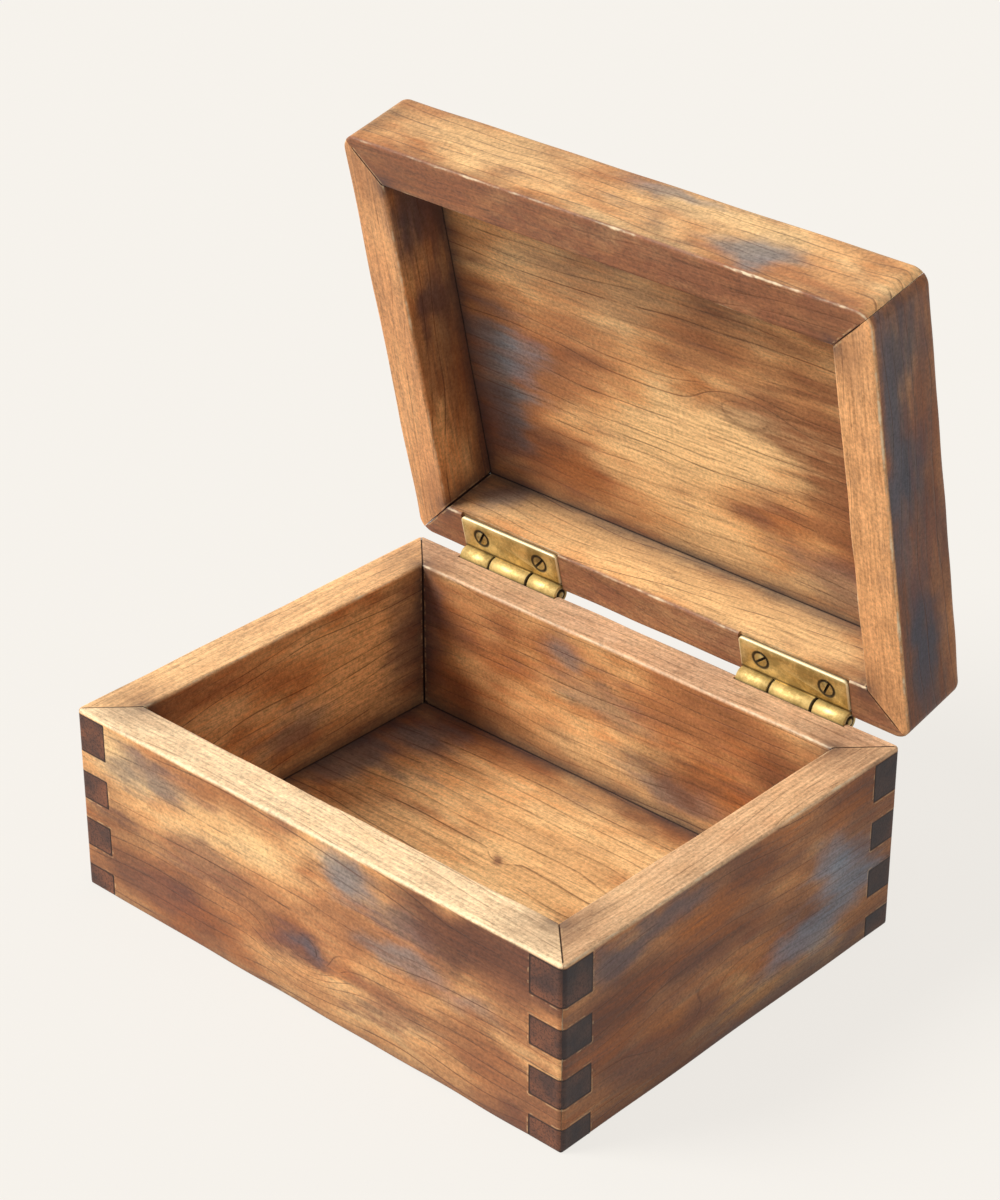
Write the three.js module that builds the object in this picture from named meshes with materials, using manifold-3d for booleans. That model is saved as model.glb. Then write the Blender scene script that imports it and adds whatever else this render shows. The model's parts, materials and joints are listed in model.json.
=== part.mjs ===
// A small hinged wooden box for papers and keepsakes, standing with its lid open.
// Four boards are mitred round a bottom board, and dark keys let into each corner lock the mitres.
// The lid is a mitred frame round a grooved-in panel, and it turns on two solid-drawn brass butt hinges.
// Millimetres: X runs to the right along the front, Y to the back and Z up, from under the box's middle.

import * as THREE from 'three';
import { mergeVertices } from 'three/addons/utils/BufferGeometryUtils.js';
import Module from 'manifold-3d';

const wasm = await Module();
wasm.setup();

// The base: its outside, its boards and the bottom board let in from below.
const boxWidth = 180;
const boxDepth = 138;
const boxHeight = 58;
const wallThick = 13.5;
const baseCornerRadius = 3.2;
const edgeEase = 1;
const bottomThick = 10;
const rebateReach = 6;

// The keys in each corner, from the rim down; the lowest ends at the bottom edge.
const keyHeights = [11.6, 8.8, 8.8, 7.2];
const keyLeg = 11;
const keyCover = 1.3;

// The lid: a deep frame with a panel held in its groove.
const lidOverhang = 1.5;
const lidHeight = 25;
const lidWall = 13.5;
const lidCornerRadius = 5;
const lidTopRound = 2.5;
const lidSeam = 0.8;
const panelThick = 5;
const tongueThick = 2;
const tongueReach = 4;
const lidOpenDegrees = 77.5;

// The butt hinges: their knuckles, leaves and pins, and where they sit.
const hingeLength = 38;
const hingeInset = 37;
const knuckleRadius = 3;
const knuckleShares = [0.3, 0.4, 0.3];
const knuckleGap = 0.5;
const knuckleEase = 0.25;
const boreSink = 0.4;
const pinRadius = 1.2;
const pinGap = 0.3;
const pinCrown = 0.5;
const leafThick = 1.4;
const leafFace = 0.5;
const leafMargin = 0.6;
const leafCornerRadius = 1.5;
const leafEase = 0.2;
const leafProud = 0.4;
const leafRimGap = 0.3;
const coveGap = 0.4;

// The slotted countersunk screws, two to a leaf, and how each slot came to rest.
const screwInset = 7.5;
const screwLength = 11;
const screwHeadRadius = 2.55;
const screwHeadDepth = 1.25;
const screwShankRadius = 1.3;
const screwTipLength = 3;
const slotWidth = 0.8;
const slotDepth = 0.7;
const lidSlotDegrees = { left: [60, 48], right: [40, 64] };
const baseSlotDegrees = { left: [15, 72], right: [55, 30] };

// Fits and fineness shared by all the pieces.
const jointGap = 0.3;
const cutOverrun = 5;
const cornerSteps = 6;
const easeSteps = 4;
const barrelSides = 32;
const screwSides = 24;

// Places that follow from the sizes above.
const lidRim = boxHeight + lidSeam;
const lidTop = lidRim + lidHeight;
const lidWidth = boxWidth + 2 * lidOverhang;
const lidDepth = boxDepth + lidOverhang;
const lidCentreY = -lidOverhang / 2;
const leafReach = leafProud + leafFace + lidWall - leafMargin;
const axisY = boxDepth / 2 + leafProud + leafFace;
const axisZ = boxHeight + leafRimGap - leafFace;
const hingeX = boxWidth / 2 - hingeInset;
const screwReach = (knuckleRadius + leafReach) / 2;

const sides = { left: -1, right: 1 };

const finishes = {
  boardWood: { color: 0xa66f43, roughness: 0.62, metalness: 0 },
  sideWood: { color: 0x94603b, roughness: 0.62, metalness: 0 },
  floorWood: { color: 0xb07a48, roughness: 0.66, metalness: 0 },
  keyWood: { color: 0x5a3d31, roughness: 0.6, metalness: 0 },
  lidWood: { color: 0xb87c48, roughness: 0.6, metalness: 0 },
  panelWood: { color: 0xb17a48, roughness: 0.64, metalness: 0 },
  brass: { color: 0xb8923f, roughness: 0.32, metalness: 1 },
  screwBrass: { color: 0xa37f38, roughness: 0.36, metalness: 1 },
};

const degrees = THREE.MathUtils.degToRad;

// A closed solid from any closed three.js geometry: corners welded, flat slivers dropped, faces outward.
function solidFrom(geometry) {
  geometry.deleteAttribute('normal');
  geometry.deleteAttribute('uv');
  const welded = mergeVertices(geometry);
  const corners = welded.getAttribute('position');
  const order = welded.index.array;
  const kept = [];
  const a = new THREE.Vector3();
  const b = new THREE.Vector3();
  const c = new THREE.Vector3();
  let volume = 0;
  for (let i = 0; i < order.length; i += 3) {
    const [p, q, r] = [order[i], order[i + 1], order[i + 2]];
    if (p === q || q === r || r === p) continue;
    kept.push(p, q, r);
    a.fromBufferAttribute(corners, p);
    b.fromBufferAttribute(corners, q);
    c.fromBufferAttribute(corners, r);
    volume += a.dot(b.cross(c));
  }
  if (volume < 0) kept.reverse();
  return new wasm.Manifold(new wasm.Mesh({
    numProp: 3,
    vertProperties: new Float32Array(corners.array),
    triVerts: new Uint32Array(kept),
  }));
}

// The faceted three.js geometry of a solid, with flat normals.
function geometryFrom(solid) {
  const mesh = solid.getMesh();
  const indexed = new THREE.BufferGeometry();
  indexed.setAttribute('position', new THREE.BufferAttribute(new Float32Array(mesh.vertProperties), 3));
  indexed.setIndex(new THREE.BufferAttribute(new Uint32Array(mesh.triVerts), 1));
  const faceted = indexed.toNonIndexed();
  faceted.computeVertexNormals();
  return faceted;
}

function addPiece(group, name, solid, finish, matrix = new THREE.Matrix4()) {
  const piece = new THREE.Mesh(geometryFrom(solid), new THREE.MeshStandardMaterial(finishes[finish]));
  piece.name = name;
  piece.applyMatrix4(matrix);
  group.add(piece);
}

// Corners of a rectangle with round corners, or with square ones at radius zero, anticlockwise from above.
function outline(halfX, halfY, radius) {
  const signs = [[1, 1], [-1, 1], [-1, -1], [1, -1]];
  if (radius === 0) return signs.map(([x, y]) => [x * halfX, y * halfY]);
  return signs.flatMap(([x, y], quarter) => Array.from({ length: cornerSteps + 1 }, (_, step) => {
    const angle = (quarter + step / cornerSteps) * Math.PI / 2;
    const across = x * (halfX - radius) + radius * Math.cos(angle);
    const along = y * (halfY - radius) + radius * Math.sin(angle);
    return [across, along];
  }));
}

// A block of stacked outlines: each level is a height and how much the outline has grown there.
function stackedBlock(halfX, halfY, radius, levels) {
  const rings = levels.map(([height, growth]) => {
    const cornerRadius = radius === 0 ? 0 : radius + growth;
    return outline(halfX + growth, halfY + growth, cornerRadius).map((corner) => [...corner, height]);
  });
  const count = rings[0].length;
  const order = [];
  for (let level = 0; level < rings.length - 1; level++) {
    for (let i = 0; i < count; i++) {
      const low = level * count + i;
      const next = level * count + (i + 1) % count;
      order.push(low, next, next + count, low, next + count, low + count);
    }
  }
  const last = (rings.length - 1) * count;
  for (let i = 1; i < count - 1; i++) {
    order.push(0, i + 1, i, last, last + i, last + i + 1);
  }
  const geometry = new THREE.BufferGeometry();
  geometry.setAttribute('position', new THREE.Float32BufferAttribute(rings.flat(2), 3));
  geometry.setIndex(order);
  return solidFrom(geometry);
}

// The angles stepped through in a quarter round.
const quarterTurns = Array.from({ length: easeSteps + 1 }, (_, step) => step / easeSteps * Math.PI / 2);

// Levels that round off the lower and the upper edge of a block.
function roundedLevels(low, high, lowRound, highRound) {
  const foot = (turn) => [low + lowRound * (1 - Math.cos(turn)), lowRound * (Math.sin(turn) - 1)];
  const head = (turn) => [high - highRound * (1 - Math.sin(turn)), highRound * (Math.cos(turn) - 1)];
  return [...quarterTurns.map(foot), ...quarterTurns.map(head)];
}

// Levels of an opening that flares to a worn round where it meets the rim; side is 1 for a rim on top.
function flaredLevels(rim, farEnd, round, side) {
  const flare = (turn) => [rim - side * round * (1 - Math.sin(turn)), round * (1 - Math.cos(turn))];
  const levels = [[farEnd, 0], ...quarterTurns.map(flare), [rim + side * cutOverrun, round]];
  return side > 0 ? levels : levels.reverse();
}

function boxSolid(lowX, highX, lowY, highY, lowZ, highZ) {
  const geometry = new THREE.BoxGeometry(highX - lowX, highY - lowY, highZ - lowZ);
  geometry.translate((lowX + highX) / 2, (lowY + highY) / 2, (lowZ + highZ) / 2);
  return solidFrom(geometry);
}

// An upright prism over a plan given as corners.
function prism(corners, lowZ, highZ) {
  const plan = new THREE.Shape(corners.map(([x, y]) => new THREE.Vector2(x, y)));
  const geometry = new THREE.ExtrudeGeometry(plan, { depth: highZ - lowZ, bevelEnabled: false });
  geometry.translate(0, 0, lowZ);
  return solidFrom(geometry);
}

// A turned piece whose axis runs along X or Z, from a profile of radius and place along the axis.
function turned(profile, axis, sideCount) {
  const points = profile.map(([radius, place]) => new THREE.Vector2(radius, place));
  const geometry = new THREE.LatheGeometry(points, sideCount);
  if (axis === 'x') geometry.rotateZ(-Math.PI / 2);
  else geometry.rotateX(Math.PI / 2);
  return solidFrom(geometry);
}

function rod(radius, low, high) {
  return turned([[0, low], [radius, low], [radius, high], [0, high]], 'x', barrelSides);
}

// The wedge of plan that one member of a mitred frame fills, less half a glue line at either mitre.
// The member's outer face is to the back at no turn, and each quarter turn moves it on to the left.
function mitreWedge(halfX, halfY, wall, quarter, lowZ, highZ) {
  const [half, out] = quarter % 2 ? [halfY, halfX] : [halfX, halfY];
  const trim = jointGap / Math.SQRT2;
  const outer = half + cutOverrun - trim;
  const inner = half - wall - cutOverrun - trim;
  const near = out - wall - cutOverrun;
  const far = out + cutOverrun;
  const corners = [[-inner, near], [inner, near], [outer, far], [-outer, far]];
  const turn = quarter * Math.PI / 2;
  const spun = corners.map(([x, y]) => [
    x * Math.cos(turn) - y * Math.sin(turn),
    x * Math.sin(turn) + y * Math.cos(turn),
  ]);
  return prism(spun, lowZ - cutOverrun, highZ + cutOverrun);
}

// The screw and, with a clearance, the countersunk pilot hole that it sits in; it points along +Z.
function screwBlank(clearance) {
  const top = clearance > 0 ? -cutOverrun : 0;
  const head = screwHeadRadius + clearance;
  const shank = screwShankRadius + clearance;
  const tip = screwLength + clearance;
  return turned([
    [0, top],
    [head, top],
    [head, 0],
    [shank, screwHeadDepth],
    [shank, tip - screwTipLength],
    [0, tip],
  ], 'z', screwSides);
}

function screwSolid(slotDegrees) {
  const half = screwHeadRadius + cutOverrun;
  const slot = boxSolid(-half, half, -slotWidth / 2, slotWidth / 2, -cutOverrun, slotDepth);
  return screwBlank(0).subtract(slot.rotate([0, 0, slotDegrees]));
}

// Where the knuckles lie along the hinge: the outer two belong to the base leaf, the middle to the lid's.
const knuckleSpans = [];
let knuckleStart = -hingeLength / 2;
for (const share of knuckleShares) {
  const length = share * (hingeLength - (knuckleShares.length - 1) * knuckleGap);
  knuckleSpans.push([knuckleStart, knuckleStart + length]);
  knuckleStart += length + knuckleGap;
}
const baseSpans = knuckleSpans.filter((_, i) => i % 2 === 0);
const lidSpans = knuckleSpans.filter((_, i) => i % 2 === 1);

// A knuckle is eased outside and countersunk at both ends of its bore.
function knuckle([low, high]) {
  const bore = pinRadius + pinGap;
  const shoulder = knuckleRadius - knuckleEase;
  return turned([
    [bore, low + boreSink],
    [bore + boreSink, low],
    [shoulder, low],
    [knuckleRadius, low + knuckleEase],
    [knuckleRadius, high - knuckleEase],
    [shoulder, high],
    [bore + boreSink, high],
    [bore, high - boreSink],
    [bore, low + boreSink],
  ], 'x', barrelSides);
}

// Screw places on a leaf, in the leaf's own axes, with the heads flush in its open face.
const screwPlaces = [1, -1].map((side) => [side * (hingeLength / 2 - screwInset), screwReach, leafFace]);

// One leaf, with the pin's axis on local X and the plate running out along +Y, wood side up.
// Its plate is cleared round the pin, and coved away opposite the other leaf's knuckles.
function leafSolid(ownSpans, otherSpans) {
  const half = hingeLength / 2 - leafEase;
  const reach = leafReach - leafEase;
  const round = leafCornerRadius - leafEase;
  const plan = new THREE.Shape();
  plan.moveTo(-half, 0);
  plan.lineTo(half, 0);
  plan.lineTo(half, reach - round);
  plan.absarc(half - round, reach - round, round, 0, Math.PI / 2);
  plan.lineTo(-half + round, reach);
  plan.absarc(-half + round, reach - round, round, Math.PI / 2, Math.PI);
  plan.closePath();
  const geometry = new THREE.ExtrudeGeometry(plan, {
    depth: leafThick - 2 * leafEase,
    curveSegments: cornerSteps,
    bevelThickness: leafEase,
    bevelSize: leafEase,
    bevelSegments: 1,
  });
  geometry.translate(0, 0, leafFace + leafEase);
  const clear = rod(pinRadius + pinGap + boreSink, -hingeLength / 2 - cutOverrun, hingeLength / 2 + cutOverrun);
  let leaf = solidFrom(geometry).subtract(clear);
  for (const [low, high] of otherSpans) {
    leaf = leaf.subtract(rod(knuckleRadius + coveGap, low - knuckleGap, high + knuckleGap));
  }
  for (const span of ownSpans) leaf = leaf.add(knuckle(span));
  for (const place of screwPlaces) leaf = leaf.subtract(screwBlank(jointGap).translate(place));
  return leaf;
}

// How a leaf's own axes lie in the box: the lid leaf on the closed lid's rim, the base leaf down the back.
function leafMatrix(x, onLid) {
  const turn = new THREE.Matrix4().makeRotationZ(Math.PI);
  if (!onLid) turn.multiply(new THREE.Matrix4().makeRotationX(-Math.PI / 2));
  return new THREE.Matrix4().makeTranslation(x, axisY, axisZ).multiply(turn);
}

// What one leaf takes out of the wood: the barrel's cove, the shallow mortise and the pilot holes.
function leafPocket(x, onLid) {
  const half = hingeLength / 2 + jointGap;
  const end = onLid ? leafReach + leafMargin + cutOverrun : leafReach + jointGap;
  const mortise = boxSolid(-half, half, 0, end, 0, leafFace + leafThick + jointGap);
  const cove = rod(knuckleRadius + coveGap, -half, half);
  let pocket = mortise.add(cove);
  for (const place of screwPlaces) pocket = pocket.add(screwBlank(jointGap).translate(place));
  return pocket.transform(leafMatrix(x, onLid).toArray());
}

function pinSolid() {
  const half = hingeLength / 2;
  const crown = pinRadius - pinCrown / 2;
  return turned([
    [0, -half - pinCrown],
    [crown, -half - pinCrown / 2],
    [pinRadius, -half],
    [pinRadius, half],
    [crown, half + pinCrown / 2],
    [0, half + pinCrown],
  ], 'x', screwSides);
}

// The plan of a corner key: a right triangle across the mitre, a little bigger for its slot.
function keyPlan(signX, signY, clearance) {
  const leg = keyLeg + clearance * Math.SQRT2 + 2 * cutOverrun;
  const cornerX = signX * (boxWidth / 2 + cutOverrun);
  const cornerY = signY * (boxDepth / 2 + cutOverrun);
  const corners = [[cornerX, cornerY], [cornerX - signX * leg, cornerY], [cornerX, cornerY - signY * leg]];
  return signX * signY > 0 ? corners : corners.reverse();
}

// The keys' places, from the rim down, with equal bands of board showing between them.
const keysTogether = keyHeights.reduce((sum, height) => sum + height);
const keyBand = (boxHeight - keyCover - keysTogether) / (keyHeights.length - 1);
const keySpans = [];
let keyTop = boxHeight - keyCover;
for (const height of keyHeights) {
  keySpans.push([keyTop - height, keyTop]);
  keyTop -= height + keyBand;
}

const boxCorners = [
  ['front_left', -1, -1],
  ['front_right', 1, -1],
  ['back_left', -1, 1],
  ['back_right', 1, 1],
];

// The base: boards cut from one ring of wood, so that their faces and rounds run on across the mitres.
function buildBase(group) {
  const halfX = boxWidth / 2;
  const halfY = boxDepth / 2;
  const block = stackedBlock(halfX, halfY, baseCornerRadius, roundedLevels(0, boxHeight, edgeEase, edgeEase));
  const hollow = stackedBlock(
    halfX - wallThick, halfY - wallThick, 0, flaredLevels(boxHeight, -cutOverrun, edgeEase, 1));
  const bottomX = halfX - wallThick + rebateReach;
  const bottomY = halfY - wallThick + rebateReach;
  const rebate = boxSolid(-bottomX, bottomX, -bottomY, bottomY, -cutOverrun, bottomThick + jointGap);
  let ring = block.subtract(hollow).subtract(rebate);

  for (const [corner, signX, signY] of boxCorners) {
    keySpans.forEach(([low, high], row) => {
      const key = prism(keyPlan(signX, signY, 0), low, high).intersect(block);
      addPiece(group, `key_${corner}_${row + 1}`, key, 'keyWood');
      ring = ring.subtract(prism(keyPlan(signX, signY, jointGap), low - jointGap, high + jointGap));
    });
  }
  for (const side of Object.values(sides)) ring = ring.subtract(leafPocket(side * hingeX, false));

  ['back', 'left', 'front', 'right'].forEach((place, quarter) => {
    const board = ring.intersect(mitreWedge(halfX, halfY, wallThick, quarter, 0, boxHeight));
    addPiece(group, `board_${place}`, board, quarter % 2 ? 'sideWood' : 'boardWood');
  });

  const fitX = bottomX - jointGap;
  const fitY = bottomY - jointGap;
  addPiece(group, 'bottom_board', boxSolid(-fitX, fitX, -fitY, fitY, 0, bottomThick), 'floorWood');

  for (const [name, side] of Object.entries(sides)) {
    const matrix = leafMatrix(side * hingeX, false);
    addPiece(group, `hinge_leaf_base_${name}`, leafSolid(baseSpans, lidSpans), 'brass', matrix);
    addPiece(group, `hinge_pin_${name}`, pinSolid(), 'screwBrass', matrix);
    screwPlaces.forEach((place, i) => {
      const screw = screwSolid(-baseSlotDegrees[name][i]).translate(place);
      addPiece(group, `screw_base_${name}_${i + 1}`, screw, 'screwBrass', matrix);
    });
  }
}

// The lid, made as it lies closed on the base.
function buildLid(group) {
  const halfX = lidWidth / 2;
  const halfY = lidDepth / 2;
  const block = stackedBlock(
    halfX, halfY, lidCornerRadius, roundedLevels(lidRim, lidTop, edgeEase, lidTopRound));
  const openX = halfX - lidWall;
  const openY = halfY - lidWall;
  const hollow = stackedBlock(openX, openY, 0, flaredLevels(lidRim, lidTop + cutOverrun, edgeEase, -1));
  const tongueLow = lidTop - (panelThick + tongueThick) / 2;
  const tongueHigh = tongueLow + tongueThick;
  const grooveX = openX + tongueReach + jointGap;
  const grooveY = openY + tongueReach + jointGap;
  const groove = boxSolid(
    -grooveX, grooveX, -grooveY, grooveY, tongueLow - jointGap, tongueHigh + jointGap);
  let ring = block.subtract(hollow).subtract(groove).translate([0, lidCentreY, 0]);
  for (const side of Object.values(sides)) ring = ring.subtract(leafPocket(side * hingeX, true));

  ['rail_back', 'stile_left', 'rail_front', 'stile_right'].forEach((place, quarter) => {
    const wedge = mitreWedge(halfX, halfY, lidWall, quarter, lidRim, lidTop).translate([0, lidCentreY, 0]);
    addPiece(group, `lid_${place}`, ring.intersect(wedge), 'lidWood');
  });

  const fieldX = openX - jointGap;
  const fieldY = openY - jointGap;
  const field = boxSolid(-fieldX, fieldX, -fieldY, fieldY, lidTop - panelThick, lidTop);
  const tongueX = openX + tongueReach;
  const tongueY = openY + tongueReach;
  const tongue = boxSolid(-tongueX, tongueX, -tongueY, tongueY, tongueLow, tongueHigh);
  addPiece(group, 'lid_panel', field.add(tongue).translate([0, lidCentreY, 0]), 'panelWood');

  for (const [name, side] of Object.entries(sides)) {
    const matrix = leafMatrix(side * hingeX, true);
    addPiece(group, `hinge_leaf_lid_${name}`, leafSolid(lidSpans, baseSpans), 'brass', matrix);
    screwPlaces.forEach((place, i) => {
      const screw = screwSolid(-lidSlotDegrees[name][i]).translate(place);
      addPiece(group, `screw_lid_${name}_${i + 1}`, screw, 'screwBrass', matrix);
    });
  }
}

// The open box: the lid group turns about the hinge pins, and its pieces are made closed inside it.
const box = new THREE.Group();
const base = new THREE.Group();
buildBase(base);
box.add(base);

const lidPivot = new THREE.Group();
lidPivot.position.set(0, axisY, axisZ);
lidPivot.rotation.x = -degrees(lidOpenDegrees);
const lid = new THREE.Group();
lid.position.set(0, -axisY, -axisZ);
buildLid(lid);
lidPivot.add(lid);
box.add(lidPivot);

export default box;
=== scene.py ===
import json
import math

import bmesh
import bpy
import numpy as np
from mathutils import Euler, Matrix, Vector


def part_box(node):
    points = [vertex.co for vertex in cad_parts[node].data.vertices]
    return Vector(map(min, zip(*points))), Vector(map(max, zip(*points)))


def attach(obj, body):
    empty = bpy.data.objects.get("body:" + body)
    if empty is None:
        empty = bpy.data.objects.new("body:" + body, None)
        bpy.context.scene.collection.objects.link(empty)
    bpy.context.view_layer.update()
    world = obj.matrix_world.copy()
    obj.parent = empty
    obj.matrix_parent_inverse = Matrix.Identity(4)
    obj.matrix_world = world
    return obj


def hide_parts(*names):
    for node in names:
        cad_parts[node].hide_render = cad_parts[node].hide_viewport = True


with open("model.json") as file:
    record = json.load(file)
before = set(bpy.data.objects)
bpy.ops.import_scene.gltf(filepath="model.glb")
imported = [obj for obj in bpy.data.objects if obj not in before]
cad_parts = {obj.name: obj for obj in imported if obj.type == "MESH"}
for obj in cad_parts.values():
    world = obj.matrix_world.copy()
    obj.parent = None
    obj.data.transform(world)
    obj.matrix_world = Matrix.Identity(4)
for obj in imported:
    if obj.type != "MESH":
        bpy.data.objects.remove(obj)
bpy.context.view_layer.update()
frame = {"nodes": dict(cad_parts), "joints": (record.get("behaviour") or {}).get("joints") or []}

# Base boards
# Four boards of oiled brown hardwood, mitred and glued, with the grain along each board. Their outside
# corners are rounded, and years of handling have worn the edges pale and uneven; that pale is also a painted
# highlight along the edges. Painted shade darkens the nooks and the feet.
SIDES = ("front", "right", "back", "left")
BASE_CORNER = 0.0018
ARRIS = 0.0010
FIT_GAP = 0.0003
GLUE_LINE = 0.00012
EDGE_WANDER = 0.00025
WANDER_WAVE = 0.035
RELIEF = 0.00003
RELIEF_WAVE = 0.03
# An offset added to the height above the foot, so that painted shade darkens the outer faces towards the
# floor.
FOOT_SHADE_OFFSET = 0.0018
CORNER_SHARPNESS = 2.2
WOOD_SHARP_ANGLE = math.radians(38)
FINE_STEP = 0.0002
FINE_REACH = 0.0016
COARSE_STEP = 0.0013
HAIR = 2e-7
WELD = 1e-5
# What a mark holds where no edge, nook or seam is near.
NONE_NEAR = 1.0

front_low, front_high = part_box("board_front")
base_half_x, base_half_y = -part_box("board_left")[0].x, -front_low.y
base_top = front_high.z
board_thick = front_high.y - front_low.y
bottom_low, bottom_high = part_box("bottom_board")
floor_top = bottom_high.z
rebate_depth = base_half_x - bottom_high.x - FIT_GAP
key_boxes = [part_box(f"key_front_right_{row}") for row in (1, 2, 3, 4)]
key_bands = [(low.z, high.z) for low, high in key_boxes]
key_leg = base_half_x - key_boxes[0][0].x
base_leaves = [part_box(f"hinge_leaf_base_{side}") for side in ("left", "right")]
hinge_line = Vector(frame["joints"][0]["pos_m"])


def node_points(name):
    """The corners of a CAD node's mesh, one row each."""
    part = frame["nodes"][name].data
    spread = np.empty(len(part.vertices) * 3, np.float32)
    part.vertices.foreach_get("co", spread)
    return spread.reshape(-1, 3).astype(float)


def round_edge(first, second, radius):
    """Rounds the edge where two faces meet, from the distances to both faces. Within the radius, a
    point keeps its direction from the round's centre, and its larger offset becomes its distance."""
    one = np.clip(radius - first, 0, None)
    two = np.clip(radius - second, 0, None)
    far = np.hypot(one, two)
    kept = np.where(far > 0, np.maximum(one, two) / np.where(far > 0, far, 1), 1)
    return first + one * (1 - kept), second + two * (1 - kept)


def waves(along, across, seed, length):
    """Gentle unevenness of about -1 to 1: the sum of six sine waves of near that length, which cross
    at chance angles, over 3."""
    chance = np.random.default_rng(seed)
    total = np.zeros(np.broadcast(along, across).shape)
    for _ in range(6):
        angle = chance.uniform(0, np.pi)
        shift = chance.uniform(0, 2 * np.pi)
        stretch = chance.uniform(0.6, 1.6)
        travel = along * np.cos(angle) + across * np.sin(angle)
        total += np.sin(travel * 2 * np.pi / (length * stretch) + shift)
    return total / 3


def places(low, high, low_fine=0.0, high_fine=0.0, steps_at=()):
    """Grid places from low to high: fine steps near the ends that ask for them, coarse ones between,
    and a close pair at each step, so that a cut there has an upright wall."""
    parts = [np.arange(low, low + low_fine, FINE_STEP), np.arange(high, high - high_fine, -FINE_STEP)]
    count = max(2, round((high - high_fine - low - low_fine) / COARSE_STEP))
    parts.append(np.linspace(low + low_fine, high - high_fine, count))
    parts.append(np.array([step + side * HAIR for step in steps_at for side in (-1, 1)]))
    return np.unique(np.concatenate(parts))


def block_grid(*axes):
    """Points and quads over the six faces of a block that is cut into a grid along its three axes."""
    points, quads, count = [], [], 0
    for axis in range(3):
        one, two = (axis + 1) % 3, (axis + 2) % 3
        rows, columns = len(axes[one]), len(axes[two])
        for end in (0, -1):
            sheet = np.empty((rows, columns, 3))
            sheet[..., axis] = axes[axis][end]
            sheet[..., one] = axes[one][:, None]
            sheet[..., two] = axes[two][None, :]
            corner = (np.arange(rows - 1)[:, None] * columns + np.arange(columns - 1)).ravel() + count
            ring = np.stack([corner, corner + columns, corner + columns + 1, corner + 1], axis=1)
            quads.append(ring if end else ring[:, ::-1])
            points.append(sheet.reshape(-1, 3))
            count += rows * columns
    return np.concatenate(points), np.concatenate(quads)


def cut_seat(u, d, z, seat, marks):
    """Cuts a hinge's seat down to its floor over its spans of u, moves points inside the barrel's cove out to
    its round, and marks the cove as a nook, where painted shade darkens it under the barrel, and the wood
    about it as no edge."""
    inside = np.zeros(len(u), bool)
    for span_low, span_high in seat["spans"]:
        inside |= (u > span_low) & (u < span_high)
    if seat["in_face"]:
        d = np.where(inside & (z > seat["end"]), np.maximum(d, seat["floor"]), d)
    else:
        z = np.where(inside, np.maximum(z, seat["floor"]), z)
    axis_d, axis_z = seat["axis"]
    off_d, off_z = d - axis_d, z - axis_z
    far = np.hypot(off_d, off_z)
    swept = inside & (far < seat["cove"])
    grow = np.where(swept, seat["cove"] / far, 1)
    marks["nook"] = np.where(swept, 0, marks["nook"])
    marks["edge"] = np.where(inside & (far < 2 * seat["cove"]), NONE_NEAR, marks["edge"])
    return axis_d + off_d * grow, axis_z + off_z * grow


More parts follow.
